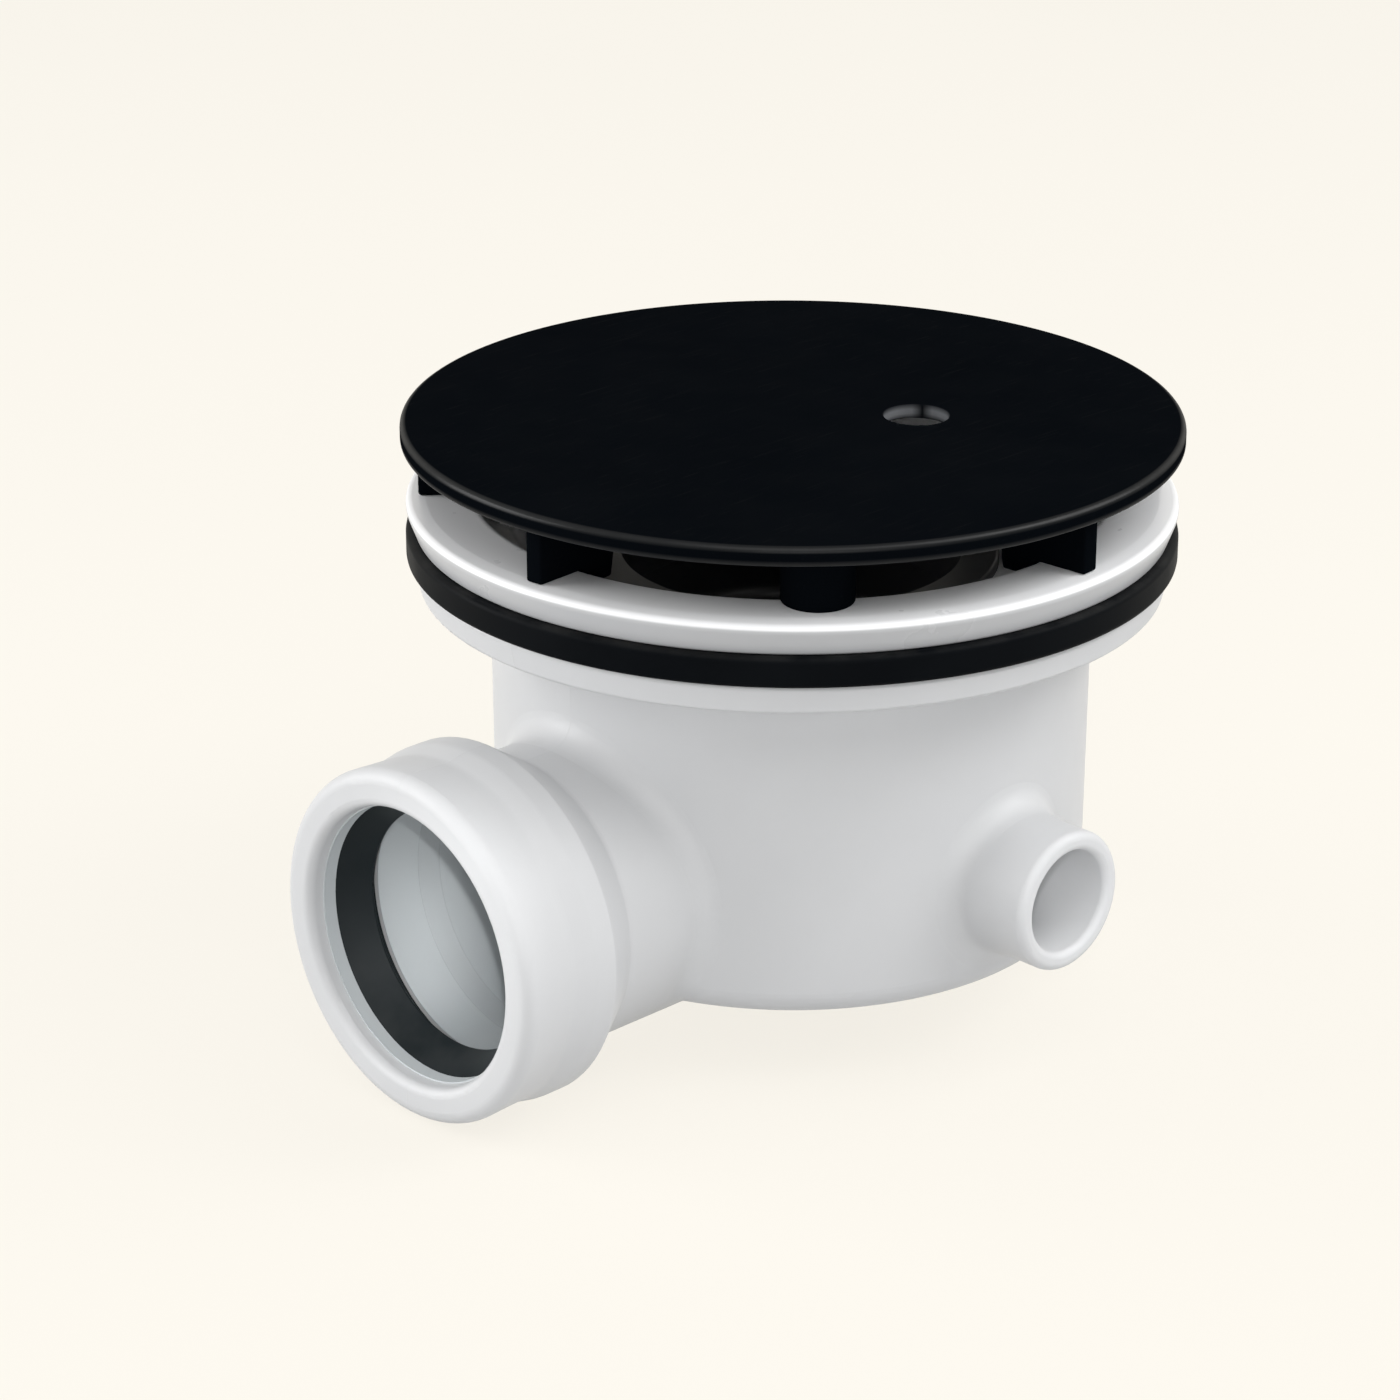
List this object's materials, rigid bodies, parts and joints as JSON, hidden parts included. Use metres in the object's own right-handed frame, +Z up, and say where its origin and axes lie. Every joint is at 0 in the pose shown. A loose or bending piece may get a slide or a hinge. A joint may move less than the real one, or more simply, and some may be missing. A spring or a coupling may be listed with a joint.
{
  "type": "shower waste",
  "caption": "Shower waste with a black disc cover over a white flange and rubber seal, a round trap body with a side outlet socket and a small side spigot, and a lift-out trap inside.",
  "frame": {"origin": "on the waste's axis, in the plane of the shower tray's upper surface, which is the underside of the clamping flange", "axes": "+Z up through the cover, +X along the outlet socket out of the trap body, +Y along the side spigot"},
  "size_m": [0.1346, 0.115, 0.089],
  "materials": {
    "black_plastic": "satin",
    "white_plastic": "semi-gloss",
    "black_rubber": "matte",
    "screw_steel": "bright"
  },
  "bodies": {
    "root": {"cover": "black_plastic", "clamping_flange": "white_plastic", "flange_screws": "screw_steel", "tray_seal": "black_rubber", "trap_body": "white_plastic", "outlet_lip_seal": "black_rubber", "dip_tube": "black_plastic", "dip_tube_o_ring": "black_rubber", "trap_cup": "white_plastic"}
  },
  "joints": []
}
